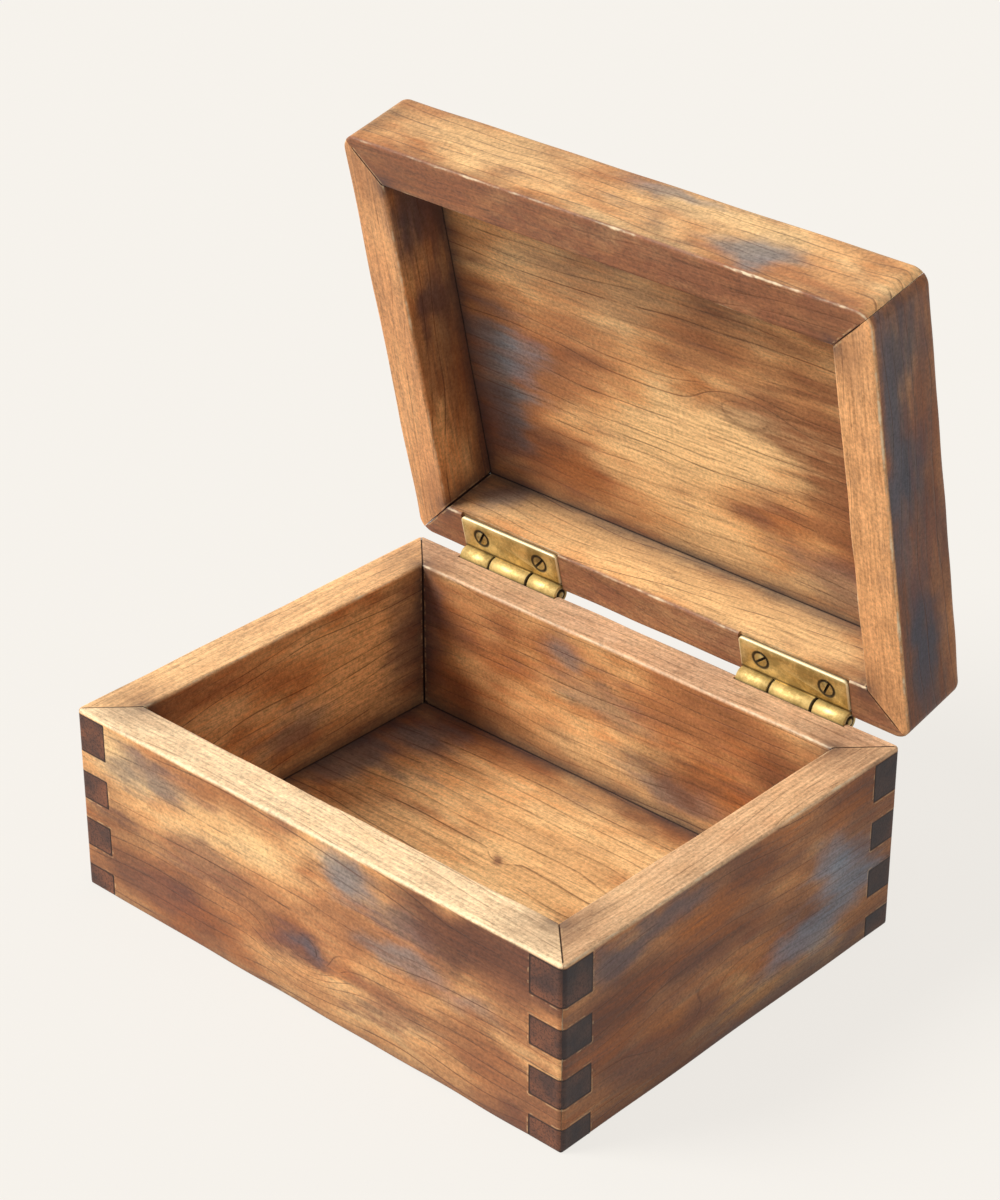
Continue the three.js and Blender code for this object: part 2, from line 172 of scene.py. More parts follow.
def frame_member(half, reach, thick, low, high, corner, rounds, quarter, seed, nook_height, slots=(),
                 rebate=None, seat=None, foot=False):
    """One member of a mitred frame. On a block's grid of u along, d inwards and z up, the edges are
    rounded by a radius that wavers along u, u is held back to the mitre at half minus d, or to a
    key's slot in its band, and the plan corner is rounded. Then hinge seats are cut, and a quarter
    turn about Z places it all. It also gives each point's distance to the nearest outside edge, nook
    and glued seam."""
    outer_low, inner_low, outer_high, inner_high = rounds
    fine_low = max(outer_low, inner_low) + FINE_REACH / 2
    fine_high = max(outer_high, inner_high) + FINE_REACH / 2
    fine_face = FINE_REACH
    edges_u = [half - key_leg, key_leg - half] if slots else []
    edges_d = []
    edges_z = [edge for band in slots for edge in band]
    if rebate:
        edges_d.append(rebate[0])
        edges_z.append(rebate[1])
    if seat:
        edges_u += [edge for span in seat["spans"] for edge in span]
        edges_z.append(seat["end"] if seat["in_face"] else seat["floor"])
        fine_low, fine_high = max(fine_low, seat["cove"]), max(fine_high, seat["cove"])
        fine_face = seat["cove"]
    points, quads = block_grid(places(-half, half, corner + FINE_REACH, corner + FINE_REACH, edges_u),
                               places(0, thick, fine_face, FINE_REACH, edges_d),
                               places(low, high, fine_low, fine_high, edges_z))
    u, d, z = points.T
    if rebate:
        z = np.where(d > rebate[0], np.maximum(z, rebate[1]), z)
    wear = EDGE_WANDER * waves(u, np.zeros_like(u), seed, WANDER_WAVE)
    d, up = round_edge(d, high - z, outer_high + wear)
    z = high - up
    if inner_high:
        inward, up = round_edge(thick - d, high - z, inner_high + wear)
        d, z = thick - inward, high - up
    d, up = round_edge(d, z - low, outer_low + wear)
    z = low + up
    if inner_low:
        inward, up = round_edge(thick - d, z - low, inner_low + wear)
        d, z = thick - inward, low + up
    end = half - d - GLUE_LINE
    for band_low, band_high in slots:
        inside = (z > band_low) & (z < band_high)
        end = np.where(inside, np.minimum(end, half - key_leg - GLUE_LINE + d), end)
    u = np.clip(u, -end, end)
    off_end = half - np.abs(u)

    to_rim = high - z if inner_high else z - low
    edges = [CORNER_SHARPNESS * np.hypot(off_end, d), np.hypot(d, high - z), np.hypot(thick - d, to_rim)]
    if not foot:
        edges.append(np.hypot(d, z - low))
    # Nooks are the inner corners and the line of the floor or panel, where painted shade darkens the wood; on
    # an outer face that stands on the floor the foot is one too, so painted shade darkens it towards the
    # floor.
    nooks = [np.hypot(thick - d, np.abs(half - thick - np.abs(u))), np.hypot(thick - d, z - nook_height)]
    if foot:
        nooks.append(z - low + FOOT_SHADE_OFFSET)
    seams = [np.where(d > corner / 2, (off_end - d) / math.sqrt(2), NONE_NEAR)]
    for band_low, band_high in slots:
        off_band = np.clip(np.maximum(band_low - z, z - band_high), 0, None)
        seams.append(np.hypot(off_band, np.clip(off_end - key_leg + d, 0, None)))
    marks = {"edge": np.min(edges, axis=0), "nook": np.min(nooks, axis=0), "seam": np.min(seams, axis=0)}

    off_end, d = round_edge(off_end, d, corner)
    u = np.sign(u) * (half - off_end)
    if seat:
        d, z = cut_seat(u, d, z, seat, marks)
    turn = quarter * math.pi / 2
    x = u * math.cos(turn) + (reach - d) * math.sin(turn)
    y = u * math.sin(turn) - (reach - d) * math.cos(turn)
    return np.stack([x, y, z], axis=1), quads, marks


def add_object(name, data):
    """Adds an object to the scene, at the origin."""
    thing = bpy.data.objects.new(name, data)
    bpy.context.scene.collection.objects.link(thing)
    return thing


def add_piece(name, mesh, body, material, replaced):
    """Adds a finished mesh as a piece on its body, in place of the CAD nodes that it stands for."""
    mesh.materials.append(material)
    piece = add_object(name, mesh)
    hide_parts(*replaced)
    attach(piece, body)


def wooden_piece(name, points, quads, body, material, replaced, marks, relief=0.0, seed=0):
    """Makes a closed mesh piece. Points within a hundredth of a millimetre become one, collapsed
    triangles are dropped, faces are turned outwards, and relief moves each point along its normal,
    but for the flat underside, where it fades out over the lowest millimetre."""
    cells = np.round(points / WELD).astype(np.int64)
    _, first, which = np.unique(cells, axis=0, return_index=True, return_inverse=True)
    quads = which.reshape(-1)[quads]
    triangles = np.concatenate([quads[:, [0, 1, 2]], quads[:, [0, 2, 3]]])
    a, b, c = triangles.T
    triangles = triangles[(a != b) & (b != c) & (c != a)]
    points = points[first]
    a, b, c = points[triangles].transpose(1, 0, 2)
    if np.einsum("ij,ij->", a, np.cross(b, c)) < 0:
        triangles = triangles[:, ::-1]
    mesh = bpy.data.meshes.new(name)
    mesh.vertices.add(len(points))
    mesh.vertices.foreach_set("co", points.astype(np.float32).ravel())
    mesh.loops.add(triangles.size)
    mesh.loops.foreach_set("vertex_index", triangles.astype(np.int32).ravel())
    mesh.polygons.add(len(triangles))
    mesh.polygons.foreach_set("loop_start", np.arange(0, triangles.size, 3, dtype=np.int32))
    mesh.polygons.foreach_set("use_smooth", np.ones(len(triangles), bool))
    mesh.update(calc_edges=True)
    if relief:
        normals = np.empty(len(points) * 3, np.float32)
        mesh.vertices.foreach_get("normal", normals)
        lift = waves(points[:, 0] + points[:, 2], points[:, 1] - points[:, 2], seed, RELIEF_WAVE) * relief
        lift *= np.clip(points[:, 2] / ARRIS, 0, 1)
        points = points + normals.reshape(-1, 3) * lift[:, None]
        mesh.vertices.foreach_set("co", points.astype(np.float32).ravel())
    mesh.set_sharp_from_angle(angle=WOOD_SHARP_ANGLE)
    for mark, values in marks.items():
        kept = mesh.attributes.new(mark, "FLOAT", "POINT").data
        kept.foreach_set("value", values[first].astype(np.float32))
    add_piece(name, mesh, body, material, replaced)


def add_node(tree, kind, **values):
    """Adds one shader node and sets the named properties on it."""
    node = tree.nodes.new(kind)
    for key, value in values.items():
        setattr(node, key, value)
    return node


def feed(tree, socket, value):
    """Links a socket's value into another socket, or sets a plain value on it."""
    if isinstance(value, bpy.types.NodeSocket):
        tree.links.new(value, socket)
    else:
        socket.default_value = value


def do_math(tree, operation, *values, clamp=False):
    """The result of one sum on sockets and plain numbers."""
    node = add_node(tree, "ShaderNodeMath", operation=operation, use_clamp=clamp)
    for socket, value in zip(node.inputs, values):
        feed(tree, socket, value)
    return node.outputs[0]


def slide(tree, value, low, high, low_result=0.0, high_result=1.0):
    """A smooth step: low_result up to low, high_result from high."""
    node = add_node(tree, "ShaderNodeMapRange", interpolation_type="SMOOTHSTEP")
    for socket, number in zip(node.inputs[:5], (value, low, high, low_result, high_result)):
        feed(tree, socket, number)
    return node.outputs[0]


def place_points(tree, source, location=(0, 0, 0), rotation=(0, 0, 0), scale=(1, 1, 1)):
    """Points that are scaled, then turned, then moved."""
    node = add_node(tree, "ShaderNodeMapping", vector_type="POINT")
    feed(tree, node.inputs["Vector"], source)
    node.inputs["Location"].default_value = location
    node.inputs["Rotation"].default_value = rotation
    node.inputs["Scale"].default_value = scale
    return node.outputs["Vector"]


def split_axes(tree, points):
    """The X, Y and Z of points, one socket each."""
    node = add_node(tree, "ShaderNodeSeparateXYZ")
    feed(tree, node.inputs[0], points)
    return node.outputs


def noise(tree, points, shift, scale, detail=2.0, roughness=0.5):
    """Noise over points that are first scaled along each axis, in cells a metre, and shifted by a seed."""
    node = add_node(tree, "ShaderNodeTexNoise", noise_dimensions="3D")
    feed(tree, node.inputs["Vector"], place_points(tree, points, (shift, 2 * shift, -shift), scale=scale))
    node.inputs["Scale"].default_value = 1.0
    node.inputs["Detail"].default_value = detail
    node.inputs["Roughness"].default_value = roughness
    return node.outputs[0]


def spot(tree, points, centre, reach):
    """A soft spot: e to the minus square of the distance from the centre, counted in reaches."""
    scale = [1 / r for r in reach]
    near = place_points(tree, points, [-c * s for c, s in zip(centre, scale)], scale=scale)
    node = add_node(tree, "ShaderNodeVectorMath", operation="DOT_PRODUCT")
    feed(tree, node.inputs[0], near)
    feed(tree, node.inputs[1], near)
    return do_math(tree, "EXPONENT", do_math(tree, "MULTIPLY", node.outputs["Value"], -1.0))


def tint(code):
    """The linear colour of a six-figure hexadecimal paint code."""
    parts = [int(code[i:i + 2], 16) / 255 for i in (1, 3, 5)]
    return tuple(p / 12.92 if p <= 0.04045 else ((p + 0.055) / 1.055) ** 2.4 for p in parts)


def ramp(tree, value, stops):
    """The colour between paint codes that stand at places from 0 to 1."""
    node = add_node(tree, "ShaderNodeValToRGB")
    feed(tree, node.inputs[0], value)
    line = node.color_ramp
    while len(line.elements) < len(stops):
        line.elements.new(0.5)
    for element, (place, code) in zip(line.elements, stops):
        element.position = place
        element.color = (*tint(code), 1.0)
    return node.outputs[0]


def blend(tree, share, first, second, kind="MIX"):
    """The first colour with a share of the second laid over it; each is a socket or a paint code."""
    node = add_node(tree, "ShaderNodeMix", data_type="RGBA", blend_type=kind)
    feed(tree, node.inputs[0], share)
    for socket, value in ((node.inputs[6], first), (node.inputs[7], second)):
        feed(tree, socket, (*tint(value), 1.0) if isinstance(value, str) else value)
    return node.outputs[2]


def attribute(tree, name):
    """The value of a mark that the mesh holds."""
    return add_node(tree, "ShaderNodeAttribute", attribute_name=name).outputs["Fac"]


def start_material(name):
    """A new material, its node tree, its shader and the object's own points."""
    material = bpy.data.materials.new(name)
    material.use_nodes = True
    tree = material.node_tree
    points = add_node(tree, "ShaderNodeTexCoord").outputs["Object"]
    return material, tree, tree.nodes["Principled BSDF"], points


def bump_from(tree, shader, height, strength, distance):
    """Tilts the shader's normal as a height of that many distances would."""
    bump = add_node(tree, "ShaderNodeBump")
    bump.inputs["Strength"].default_value = strength
    bump.inputs["Distance"].default_value = distance
    feed(tree, bump.inputs["Height"], height)
    feed(tree, shader.inputs["Normal"], bump.outputs[0])


WOOD_SHADES = [(0.27, "#F0C58C"), (0.41, "#DBA36B"), (0.54, "#B1774B"), (0.72, "#734730")]
RED_BROWN = "#A9602D"
PURPLE_BROWN = "#70463A"
LATE_WOOD = "#4E2C1C"
# Painted shade by the nooks: a brown shadow, a blue shade and a near-black line in the crease.
SHADOW_BROWN = "#6A4230"
NOOK_SHADE_BLUE = "#30313A"
CREASE_SHADE = "#1F1A1E"
SEAM_BRUISE = "#E9C593"
SEAM_GLUE = "#2E1B14"
# Bare pale wood on the worn edges, which is also a painted highlight.
BARE_EDGE_AND_HIGHLIGHT = "#F6E0BA"
GRAIN_GAP = 0.0028
SWAY = 0.020
STRAY = 0.016
WOOD_BUMP = 0.0002
# Each pair is the distances from a nook, seam, crown or edge between which a mark fades in or out.
SHADOW_BAND = (-0.008, 0.011)
BLUE_SHADE_BAND = (-0.0035, 0.0035)
CREASE_SHADE_BAND = (0.0002, 0.0006)
GLUE_BAND = (0.00012, 0.00032)
BRUISE_IN_BAND = (0.00025, 0.00045)
BRUISE_OUT_BAND = (0.0005, 0.0009)
CROWN_BAND = (0.0004, 0.0013)
BARE_AND_HIGHLIGHT_BAND = (0.0009, 0.0014)
# How far streaks and mottle carry a mark to and fro.
SHADOW_STREAK = -0.016
BLUE_SHADE_MOTTLE = -0.005
EDGE_MOTTLE = 0.0016


def grain_lines(tree, box_points, points, beside, above, seed, gap, figures):
    """Late-wood lines lie where a slanting plane, bent by slow waves and by figures, crosses steps of
    the grain gap. Each has a chance strength of its own, and is broken along its length."""
    sway = do_math(tree, "MULTIPLY", noise(tree, points, seed, (8, 18, 18)), SWAY)
    slant = do_math(tree, "ADD", do_math(tree, "MULTIPLY", beside, 0.72),
                    do_math(tree, "MULTIPLY", above, 0.70))
    height = do_math(tree, "ADD", slant, sway)
    for centre, reach, lift in figures:
        swell = do_math(tree, "MULTIPLY", spot(tree, box_points, centre, reach), lift)
        height = do_math(tree, "ADD", height, swell)
    steps = do_math(tree, "MULTIPLY", height, 1 / gap)
    ring = do_math(tree, "FRACT", steps)
    chance = add_node(tree, "ShaderNodeTexWhiteNoise", noise_dimensions="1D")
    feed(tree, chance.inputs["W"], do_math(tree, "ADD", do_math(tree, "FLOOR", steps), seed))
    line = do_math(tree, "MULTIPLY", slide(tree, ring, 0.84, 0.94), slide(tree, ring, 0.94, 1.0, 1.0, 0.0))
    line = do_math(tree, "MULTIPLY", line, do_math(tree, "MULTIPLY_ADD", chance.outputs["Value"], 0.65, 0.35))
    broken = slide(tree, noise(tree, points, seed + 3, (60, 420, 420), 3.0, 0.6), 0.34, 0.54, 0.1, 1.0)
    return do_math(tree, "MULTIPLY", line, broken)


def wood_ground(tree, points, fibres, seed, tone):
    """Patches from honey to brown, frayed by the fibres, under patches of red and of purple brown."""
    patch = noise(tree, points, seed + 11, (15, 40, 40), 3.0, 0.55)
    fray = do_math(tree, "MULTIPLY", do_math(tree, "SUBTRACT", fibres, 0.5), 0.20)
    patch = do_math(tree, "SUBTRACT", do_math(tree, "ADD", patch, fray), 0.5)
    colour = ramp(tree, do_math(tree, "MULTIPLY_ADD", patch, 1.3, 0.5 + tone, clamp=True), WOOD_SHADES)
    red = slide(tree, noise(tree, points, seed + 13, (18, 52, 52), 3.0, 0.6), 0.50, 0.70, 0.0, 0.70)
    colour = blend(tree, red, colour, RED_BROWN)
    purple = slide(tree, noise(tree, points, seed + 17, (17, 48, 48), 3.0, 0.6), 0.54, 0.73, 0.0, 0.70)
    return blend(tree, purple, colour, PURPLE_BROWN)


def stained(tree, colour, box_points, streak, stains):
    """Lays each stain over the colour: a soft spot on points that noise moves to and fro, so that its
    outline is ragged, with streaks along the grain."""
    wander = add_node(tree, "ShaderNodeTexNoise", noise_dimensions="3D")
    feed(tree, wander.inputs["Vector"], box_points)
    wander.inputs["Scale"].default_value = 60.0
    wander.inputs["Detail"].default_value = 3.0
    swing = add_node(tree, "ShaderNodeVectorMath", operation="MULTIPLY_ADD")
    feed(tree, swing.inputs[0], wander.outputs["Color"])
    swing.inputs[1].default_value = (STRAY, STRAY, STRAY)
    swing.inputs[2].default_value = (-STRAY / 2, -STRAY / 2, -STRAY / 2)
    strayed = add_node(tree, "ShaderNodeVectorMath", operation="ADD")
    feed(tree, strayed.inputs[0], box_points)
    feed(tree, strayed.inputs[1], swing.outputs["Vector"])
    for paint, centre, reach, strength in stains:
        near = spot(tree, strayed.outputs["Vector"], centre, reach)
        near = do_math(tree, "MULTIPLY_ADD", do_math(tree, "SUBTRACT", streak, 0.5), 1.5, near)
        colour = blend(tree, slide(tree, near, 0.15, 1.0, 0.0, strength), colour, paint)
    return colour


def wear_and_painted_light(tree, colour, streak, mottle, chips):
    """Lays wear and painted light over the colour: painted shade by the nooks, as a brown shadow, a blue
    shade and a near-black line in the crease, then a dark glue line with a pale bruise beside it along each
    seam, and bare pale wood along the edges, which is also a painted highlight."""
    nook, seam = attribute(tree, "nook"), attribute(tree, "seam")
    # Painted shade, darker nearer a nook: a brown shadow, a blue shade and a near-black crease line.
    shadow = slide(tree, do_math(tree, "MULTIPLY_ADD", streak, SHADOW_STREAK, nook), *SHADOW_BAND, 0.5, 0.0)
    colour = blend(tree, shadow, colour, SHADOW_BROWN)
    blue_shade = slide(tree, do_math(tree, "MULTIPLY_ADD", mottle, BLUE_SHADE_MOTTLE, nook), *BLUE_SHADE_BAND, 0.62, 0.0)
    colour = blend(tree, blue_shade, colour, NOOK_SHADE_BLUE)
    colour = blend(tree, slide(tree, nook, *CREASE_SHADE_BAND, 0.85, 0.0), colour, CREASE_SHADE)
    bruise = do_math(tree, "MULTIPLY", slide(tree, seam, *BRUISE_IN_BAND),
                     slide(tree, seam, *BRUISE_OUT_BAND, 1.0, 0.0))
    bruise = do_math(tree, "MULTIPLY", bruise, slide(tree, chips, 0.45, 0.60, 0.0, 0.38))
    colour = blend(tree, bruise, colour, SEAM_BRUISE)
    colour = blend(tree, slide(tree, seam, *GLUE_BAND, 0.85, 0.0), colour, SEAM_GLUE)
    # Bare pale wood along the edges, also a painted highlight.
    edge = do_math(tree, "MULTIPLY_ADD", mottle, EDGE_MOTTLE, attribute(tree, "edge"))
    bare_and_highlight = do_math(tree, "MULTIPLY", slide(tree, edge, *BARE_AND_HIGHLIGHT_BAND, 0.85, 0.0),
                   slide(tree, chips, 0.36, 0.52, 0.25, 1.0))
    return blend(tree, bare_and_highlight, colour, BARE_EDGE_AND_HIGHLIGHT)


lid_turn = math.radians(frame["joints"][0]["range_deg"][1])


def oiled_wood(name, seed, across=False, lid=False, tone=0.0, gap=GRAIN_GAP, figures=(), stains=(), rim=None):
    """Oiled hardwood with its grain along X, or along Y where across is true; a lid's points are first turned
    back to the closed lid. On its ground lie the stains that are given, a rim's crown in a colour of its own,
    which on the base's pale rims is partly a painted highlight, and the grain lines, which fade on that
    crown, then fine fibres and specks, and last its wear and its painted light."""
    material, tree, shader, box_points = start_material(name)
    if lid:
        back = Euler((lid_turn, 0, 0)).to_matrix()
        box_points = place_points(tree, box_points, hinge_line - back @ hinge_line, (lid_turn, 0, 0))
    points = place_points(tree, box_points, rotation=(0, 0, math.radians(90) if across else 0))
    _, beside, above = split_axes(tree, points)
    line = grain_lines(tree, box_points, points, beside, above, seed, gap, figures)
    fibres = noise(tree, points, seed + 5, (60, 1300, 1300), 3.0, 0.6)
    speckle = noise(tree, points, seed + 7, (900, 1150, 1150), 3.0, 0.7)
    streak = noise(tree, points, seed + 29, (26, 150, 150), 4.0, 0.6)
    mottle = noise(tree, points, seed + 19, (110, 170, 170), 3.0, 0.65)
    chips = noise(tree, points, seed + 23, (300, 500, 500), 2.0, 0.6)

    colour = wood_ground(tree, points, fibres, seed, tone)
    colour = stained(tree, colour, box_points, streak, stains)
    line_share = 0.75
    # The rim's crown colour; the pale crowns of the base's rims are partly a painted highlight on their lit
    # tops.
    if rim:
        rim_height, rim_colour, rim_share = rim
        off_rim = do_math(tree, "ABSOLUTE", do_math(tree, "SUBTRACT", above, rim_height))
        crown = do_math(tree, "MULTIPLY", slide(tree, off_rim, *CROWN_BAND, rim_share, 0.0),
                        do_math(tree, "ADD", mottle, 0.45), clamp=True)
        colour = blend(tree, crown, colour, rim_colour)
        line_share = do_math(tree, "MULTIPLY_ADD", crown, -0.45, line_share)
    colour = blend(tree, do_math(tree, "MULTIPLY", line, line_share), colour, LATE_WOOD)
    grain = do_math(tree, "MULTIPLY_ADD", do_math(tree, "ADD", fibres, speckle), 1.5, -0.5)
    shade = add_node(tree, "ShaderNodeCombineColor")
    for socket in shade.inputs:
        feed(tree, socket, grain)
    colour = blend(tree, 1.0, colour, shade.outputs[0], "MULTIPLY")
    feed(tree, shader.inputs["Base Color"], wear_and_painted_light(tree, colour, streak, mottle, chips))
    feed(tree, shader.inputs["Roughness"], slide(tree, fibres, 0.3, 0.7, 0.48, 0.64))
    shader.inputs["Specular IOR Level"].default_value = 0.35
    height = do_math(tree, "SUBTRACT", do_math(tree, "MULTIPLY", speckle, 0.7), line)
    bump_from(tree, shader, height, 0.5, WOOD_BUMP)
    return material


STEEL_BLUE = "#737678"
PALE_BLUE = "#8296A6"
SLATE = "#57535A"
PLUM = "#6B4238"
RUST = "#A4602E"
HONEY = "#EFC48A"
UMBER = "#603826"
SIENNA = "#8C5838"
BOARD_STAIN_DEPTH = 0.020
AXIS_X, AXIS_Y, AXIS_Z = 0, 1, 2


def mm(*sizes):
    """Metres from sizes in millimetres."""
    return tuple(size / 1000 for size in sizes)


def on_face(axis, level, depth, stains):
    """Stains on a face that lies across an axis at a level. Each has a paint, two places and two
    reaches along the face in millimetres, and a strength, and it reaches that depth into the wood."""
    whole = []
    for paint, *sizes, strength in stains:
        centre, reach = list(mm(*sizes[:2])), list(mm(*sizes[2:]))
        centre.insert(axis, level)
        reach.insert(axis, depth)
        whole.append((paint, centre, reach, strength))
    return whole


# The pale rim colours of the base boards are partly a painted highlight on the rim tops.
board_woods = {
    "front": oiled_wood(
        "front_board_wood", 1.3, tone=-0.02, rim=(base_top, "#FFDDB0", 0.95),
        figures=[(mm(-3, -69, 17), mm(13, 30, 7), 0.010), (mm(40, -69, 48), mm(40, 30, 9), 0.004)],
        stains=on_face(AXIS_Y, -base_half_y, BOARD_STAIN_DEPTH, [
            (HONEY, -20, 45, 26, 9, 0.6), (SLATE, -61, 48, 19, 7, 0.7), (STEEL_BLUE, 14, 50, 12, 7, 0.8),
            (SLATE, 38, 45, 20, 6, 0.7), (STEEL_BLUE, 36, 34, 16, 5, 0.6), (STEEL_BLUE, 60, 30, 13, 5, 0.6),
            (PLUM, -3, 19, 15, 8, 0.95), (PLUM, -38, 30, 20, 8, 0.6), (PLUM, 32, 15, 18, 7, 0.7),
            (PLUM, -58, 12, 22, 8, 0.6), (RUST, 62, 22, 18, 12, 0.5), (UMBER, 60, 50, 34, 12, 0.95),
            (SIENNA, 56, 20, 36, 13, 0.85), (SIENNA, 74, 34, 14, 12, 0.7), (SLATE, -1, 20, 9, 4, 0.7),
            (UMBER, -76, 20, 14, 14, 0.5), (RUST, -30, 52, 22, 5, 0.4)])),
    "back": oiled_wood(
        "back_board_wood", 4.1, tone=-0.05, rim=(base_top, "#DEB894", 0.8),
        stains=on_face(AXIS_Y, base_half_y - board_thick, BOARD_STAIN_DEPTH, [
            (STEEL_BLUE, -21, 50, 10, 7, 0.6), (SLATE, -72, 40, 7, 20, 0.6), (STEEL_BLUE, 20, 20, 22, 7, 0.7),
            (RUST, -42, 42, 15, 10, 0.5), (RUST, 38, 27, 12, 10, 0.5), (UMBER, 62, 40, 14, 16, 0.6),
            (UMBER, 22, 27, 18, 9, 0.6), (SLATE, -4, 38, 24, 6, 0.45)])),
    "left": oiled_wood(
        "left_board_wood", 2.2, True, tone=-0.08, rim=(base_top, "#F8C68E", 0.9),
        stains=on_face(AXIS_X, board_thick - base_half_x, BOARD_STAIN_DEPTH, [
            (STEEL_BLUE, 0, 25, 22, 7, 0.55), (SLATE, 48, 34, 12, 20, 0.6)])),
    # This board's darker tone is partly painted shade, for its outer face turns from the lamp.
    "right": oiled_wood(
        "right_board_wood", 5.7, True, tone=0.11, gap=0.0023, rim=(base_top, "#E6BD92", 0.8),
        figures=[(mm(90, -24, 14), mm(30, 24, 8), 0.008)],
        stains=on_face(AXIS_X, base_half_x, BOARD_STAIN_DEPTH, [
            (PALE_BLUE, 32, 14, 18, 8, 0.65), (PALE_BLUE, 48, 24, 15, 11, 0.65),
            (PALE_BLUE, 40, 36, 10, 8, 0.5), (SLATE, -50, 49, 16, 6, 0.8), (SLATE, -24, 53, 20, 5, 0.7),
            (RUST, -12, 42, 20, 9, 0.9), (RUST, -30, 20, 12, 6, 0.6), (PLUM, -30, 10, 30, 8, 0.55),
            (RUST, 46, 48, 13, 5, 0.7), (UMBER, -46, 34, 20, 14, 0.7), (SLATE, 20, 3, 50, 5, 0.6)])),
}

BARREL_ROOM = 0.0034
BARREL_REACH = 0.006
BASE_SEAT_ROOM = 0.0004
base_leaf = node_points("hinge_leaf_base_left")
leaf_plate = base_half_y - base_leaf[base_leaf[:, 2] < hinge_line.z - BARREL_REACH][:, 1].min()
hinge_seat = {
    "in_face": True, "end": base_leaves[0][0].z - FIT_GAP, "floor": leaf_plate + FIT_GAP,
    "spans": [(-high.x - BASE_SEAT_ROOM, -low.x + BASE_SEAT_ROOM) for low, high in base_leaves],
    "axis": (base_half_y - hinge_line.y, hinge_line.z), "cove": BARREL_ROOM}
for quarter, side in enumerate(SIDES):
    half, reach = (base_half_y, base_half_x) if quarter % 2 else (base_half_x, base_half_y)
    points, quads, marks = frame_member(
        half, reach, board_thick, 0.0, base_top, BASE_CORNER, (ARRIS, 0.0, ARRIS, ARRIS), quarter,
        10 + quarter, floor_top, slots=key_bands, rebate=(rebate_depth, floor_top),
        seat=hinge_seat if side == "back" else None, foot=True)
    wooden_piece(f"{side}_board", points, quads, "base",
                 board_woods[side], [f"board_{side}"], marks, RELIEF, 20 + quarter)

# Corner keys
# Four dark keys to a corner, glued across the mitre in sawn slots and planed flush with both faces,
# so that each shows its end grain round the corner.
KEY_SHADES = [(0.30, "#875238"), (0.48, "#6B4230"), (0.66, "#4A312A")]
# A shaded copy of the key colours: painted shade on the keys' faces on the side boards.
KEY_SHADED_SIDE_SHADES = [(0.30, "#5C3D32"), (0.50, "#42302C"), (0.66, "#2C2326")]
KEY_PORES = "#2B1B17"
KEY_GLUE = "#1D1210"
KEY_GLUE_BAND = (0.00015, 0.00045)
BEND_SHARE = 0.3
LEG_COUNT = 8
BEND_COUNT = 25


def key_wood(name):
    """Dark end grain: close pores and flecks over a brown that varies from key to key, with a black glue line
    round each key. On the side boards a darker copy of the brown, nearly black, is painted shade."""
    material, tree, shader, points = start_material(name)
    broad = noise(tree, points, 3.1, (95, 95, 120), 3.0, 0.6)
    pores = noise(tree, points, 8.7, (1500, 1500, 1500), 2.0, 0.65)
    # Painted shade: the keys take the shaded copy on the side boards.
    shaded_side = slide(tree, attribute(tree, "shaded_side"), -0.03, 0.0)
    colour = blend(tree, shaded_side, ramp(tree, broad, KEY_SHADES), ramp(tree, broad, KEY_SHADED_SIDE_SHADES))
    colour = blend(tree, slide(tree, pores, 0.46, 0.66, 0.0, 0.65), colour, KEY_PORES)
    colour = blend(tree, slide(tree, attribute(tree, "seam"), *KEY_GLUE_BAND, 0.8, 0.0), colour, KEY_GLUE)
    feed(tree, shader.inputs["Base Color"], colour)
    shader.inputs["Roughness"].default_value = 0.55
    shader.inputs["Specular IOR Level"].default_value = 0.35
    bump_from(tree, shader, pores, 0.4, WOOD_BUMP)
    return material


def corner_key(sign_x, sign_y, low, high):
    """A key over the grid of a round the corner, b inwards and z up. On plan a runs from one leg's end
    through the corner to the other's, and b from there to the long side; the corner is then rounded."""
    bend = np.linspace(-BEND_SHARE, BEND_SHARE, BEND_COUNT)
    a_places = np.concatenate([np.linspace(-1, -BEND_SHARE, LEG_COUNT)[:-1], bend,
                               np.linspace(BEND_SHARE, 1, LEG_COUNT)[1:]])
    points, quads = block_grid(a_places, np.linspace(0, 1, LEG_COUNT), places(low, high, ARRIS, ARRIS))
    a, b, z = points.T
    off_x = np.clip(-a, 0, None) * key_leg
    off_y = np.clip(a, 0, None) * key_leg
    marks = {"shaded_side": a, "seam": np.min([(1 - np.abs(a)) * key_leg, z - low, high - z], axis=0)}
    off_x = off_x + b * ((1 - a) / 2 * key_leg - off_x)
    off_y = off_y + b * ((1 + a) / 2 * key_leg - off_y)
    off_x, off_y = round_edge(off_x, off_y, BASE_CORNER)
    rise = z - low
    if low < ARRIS:
        off_y, rise = round_edge(off_y, rise, ARRIS)
        off_x, rise = round_edge(off_x, rise, ARRIS)
    corners = np.stack([sign_x * (base_half_x - off_x), sign_y * (base_half_y - off_y), low + rise], axis=1)
    return corners, quads, marks


dark_key_wood = key_wood("key_end_grain")
corner_signs = {"front_left": (-1, -1), "front_right": (1, -1), "back_left": (-1, 1), "back_right": (1, 1)}
for corner, (sign_x, sign_y) in corner_signs.items():
    for row, (low, high) in enumerate(key_bands, 1):
        points, quads, marks = corner_key(sign_x, sign_y, low, high)
        wooden_piece(f"{corner}_key_{row}", points, quads, "base", dark_key_wood,
                     [f"key_{corner}_{row}"], marks)

# Bottom board
# One flat board let in from below; its pale middle shows inside, with a small pin knot, and painted shade
# darkens it along the walls.
FLAT_RELIEF = 0.00005
FLAT_STAIN_DEPTH = 0.009


def to_sides(points, half_x, half_y, middle_y=0.0):
    """Each point's distance on plan to the nearest side of a rectangle, less than zero outside it."""
    return np.minimum(half_x - np.abs(points[:, 0]), half_y - np.abs(points[:, 1] - middle_y))


